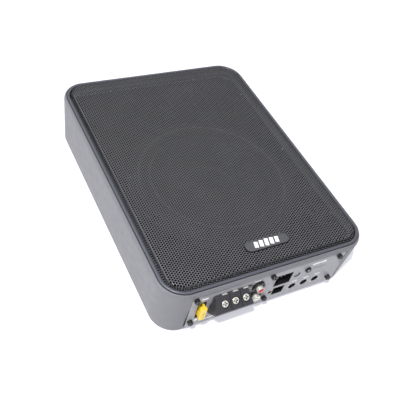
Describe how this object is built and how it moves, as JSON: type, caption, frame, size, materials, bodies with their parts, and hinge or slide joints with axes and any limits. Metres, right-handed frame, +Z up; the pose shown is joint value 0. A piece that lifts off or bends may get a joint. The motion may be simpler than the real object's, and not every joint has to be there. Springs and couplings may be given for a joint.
{
  "type": "powered car subwoofer",
  "caption": "Shallow under-seat powered subwoofer: a metal tub with a driver under a perforated grille, an inbuilt amplifier, and a panel with fuse, terminals, sockets and adjusters.",
  "frame": {"origin": "centre of the underside of the tub, on the plane of the bottom cover; the rubber feet hang 4 mm below it", "axes": "+Z up through the grille, +Y from the control panel to the back, +X along the panel to its right end seen from the front"},
  "size_m": [0.25, 0.3451, 0.0764],
  "materials": {
    "shell": "grey powder coat",
    "frame_plastic": "satin",
    "perforated_steel": "satin black powder coat",
    "badge_plate": "satin",
    "emblem": "printed white",
    "cover_metal": "black powder coat",
    "foam": "closed cell foam",
    "black_steel": "black oxide",
    "zinc_steel": "zinc plated",
    "nickel": "nickel plated",
    "brass": "machined",
    "rubber": "matt",
    "panel_paint": "light grey paint",
    "black_plastic": "moulded",
    "block_plastic": "glass-filled, moulded",
    "grey_plastic": "moulded",
    "fuse_yellow": "translucent moulded",
    "red_plastic": "moulded",
    "white_plastic": "moulded",
    "lamp": "diffuse lens",
    "board": "solder mask",
    "capacitor_sleeve": "shrink sleeve",
    "ferrite": "sintered",
    "copper_wire": "enamelled copper",
    "paper": "pressed paper",
    "cloth": "resin treated cloth",
    "soft_rubber": "butyl",
    "wire_red": "insulated"
  },
  "bodies": {
    "housing": {"enclosure": "shell", "bottom_cover": "cover_metal", "bottom_gasket": "foam", "bottom_cover_screws": "black_steel", "bracket_inserts": "brass", "rubber_feet": "rubber", "grille_frame": "frame_plastic", "frame_screws": "zinc_steel", "grille": "perforated_steel", "badge": "badge_plate", "badge_emblem": "emblem", "control_panel": "panel_paint", "panel_gasket": "foam", "panel_screws": "black_steel", "fuse_holder": "black_plastic", "terminal_block": "block_plastic", "terminal_lugs": "nickel", "rca_housing": "black_plastic", "rca_shells": "nickel", "rca_insulator_red": "red_plastic", "rca_insulator_white": "white_plastic", "rca_contacts": "nickel", "high_level_socket": "black_plastic", "high_level_pins": "nickel", "remote_socket": "black_plastic", "remote_contacts": "nickel", "phase_switch_body": "black_plastic", "led_bezel": "black_plastic", "power_led": "lamp", "potentiometer_bodies": "black_plastic", "amplifier_board": "board", "board_standoffs": "zinc_steel", "capacitors": "capacitor_sleeve", "toroid_core": "ferrite", "toroid_winding": "copper_wire", "power_transistors": "black_plastic", "yoke": "zinc_steel", "magnet": "ferrite", "top_plate": "zinc_steel", "basket": "black_steel", "driver_gasket": "foam", "driver_screws": "black_steel", "surround": "soft_rubber", "spider": "cloth", "speaker_wires": "wire_red"},
    "cone_assembly": {"cone": "paper", "dust_cap": "paper", "voice_coil": "copper_wire"},
    "gain_adjuster": {"gain_shaft": "black_plastic"},
    "crossover_adjuster": {"crossover_shaft": "black_plastic"},
    "boost_adjuster": {"boost_shaft": "black_plastic"},
    "phase_plunger": {"phase_button": "grey_plastic"},
    "fuse": {"fuse_body": "fuse_yellow", "fuse_blades": "nickel"},
    "screw_1": {"terminal_screw_1": "nickel"},
    "clamp_1": {"terminal_clamp_1": "nickel"},
    "screw_2": {"terminal_screw_2": "nickel"},
    "clamp_2": {"terminal_clamp_2": "nickel"},
    "screw_3": {"terminal_screw_3": "nickel"},
    "clamp_3": {"terminal_clamp_3": "nickel"}
  },
  "joints": [
    {"name": "cone_travel", "type": "slide", "parent": "housing", "child": "cone_assembly", "axis": [0, 0, 1], "range_m": [-0.006, 0.006], "deforming": ["surround", "spider"]},
    {"name": "gain_turn", "type": "hinge", "parent": "housing", "child": "gain_adjuster", "pos_m": [0.0352, -0.1654, 0.02], "axis": [0, -1, 0], "range_deg": [-150, 150]},
    {"name": "crossover_turn", "type": "hinge", "parent": "housing", "child": "crossover_adjuster", "pos_m": [0.0508, -0.1654, 0.02], "axis": [0, -1, 0], "range_deg": [-150, 150]},
    {"name": "boost_turn", "type": "hinge", "parent": "housing", "child": "boost_adjuster", "pos_m": [0.0662, -0.1654, 0.02], "axis": [0, -1, 0], "range_deg": [-150, 150]},
    {"name": "phase_press", "type": "slide", "parent": "housing", "child": "phase_plunger", "axis": [0, 1, 0], "range_m": [0, 0.0015]},
    {"name": "fuse_pull", "type": "slide", "parent": "housing", "child": "fuse", "axis": [0, -1, 0], "range_m": [0, 0.02]},
    {"name": "screw_1_turn", "type": "hinge", "parent": "housing", "child": "screw_1", "pos_m": [-0.0595, -0.17126, 0.04187], "axis": [0, -0.7071, 0.7071], "range_deg": [-1081, 1]},
    {"name": "clamp_1_rise", "type": "slide", "parent": "housing", "child": "clamp_1", "axis": [0, -0.7071, 0.7071], "range_m": [0, 0.0021]},
    {"name": "screw_2_turn", "type": "hinge", "parent": "housing", "child": "screw_2", "pos_m": [-0.0471, -0.17126, 0.04187], "axis": [0, -0.7071, 0.7071], "range_deg": [-1081, 1]},
    {"name": "clamp_2_rise", "type": "slide", "parent": "housing", "child": "clamp_2", "axis": [0, -0.7071, 0.7071], "range_m": [0, 0.0021]},
    {"name": "screw_3_turn", "type": "hinge", "parent": "housing", "child": "screw_3", "pos_m": [-0.0347, -0.17126, 0.04187], "axis": [0, -0.7071, 0.7071], "range_deg": [-1081, 1]},
    {"name": "clamp_3_rise", "type": "slide", "parent": "housing", "child": "clamp_3", "axis": [0, -0.7071, 0.7071], "range_m": [0, 0.0021]}
  ],
  "couplings": [
    {"joint": "screw_1_turn", "follows": "clamp_1_rise", "rad_per_m": -8976},
    {"joint": "screw_2_turn", "follows": "clamp_2_rise", "rad_per_m": -8976},
    {"joint": "screw_3_turn", "follows": "clamp_3_rise", "rad_per_m": -8976}
  ]
}
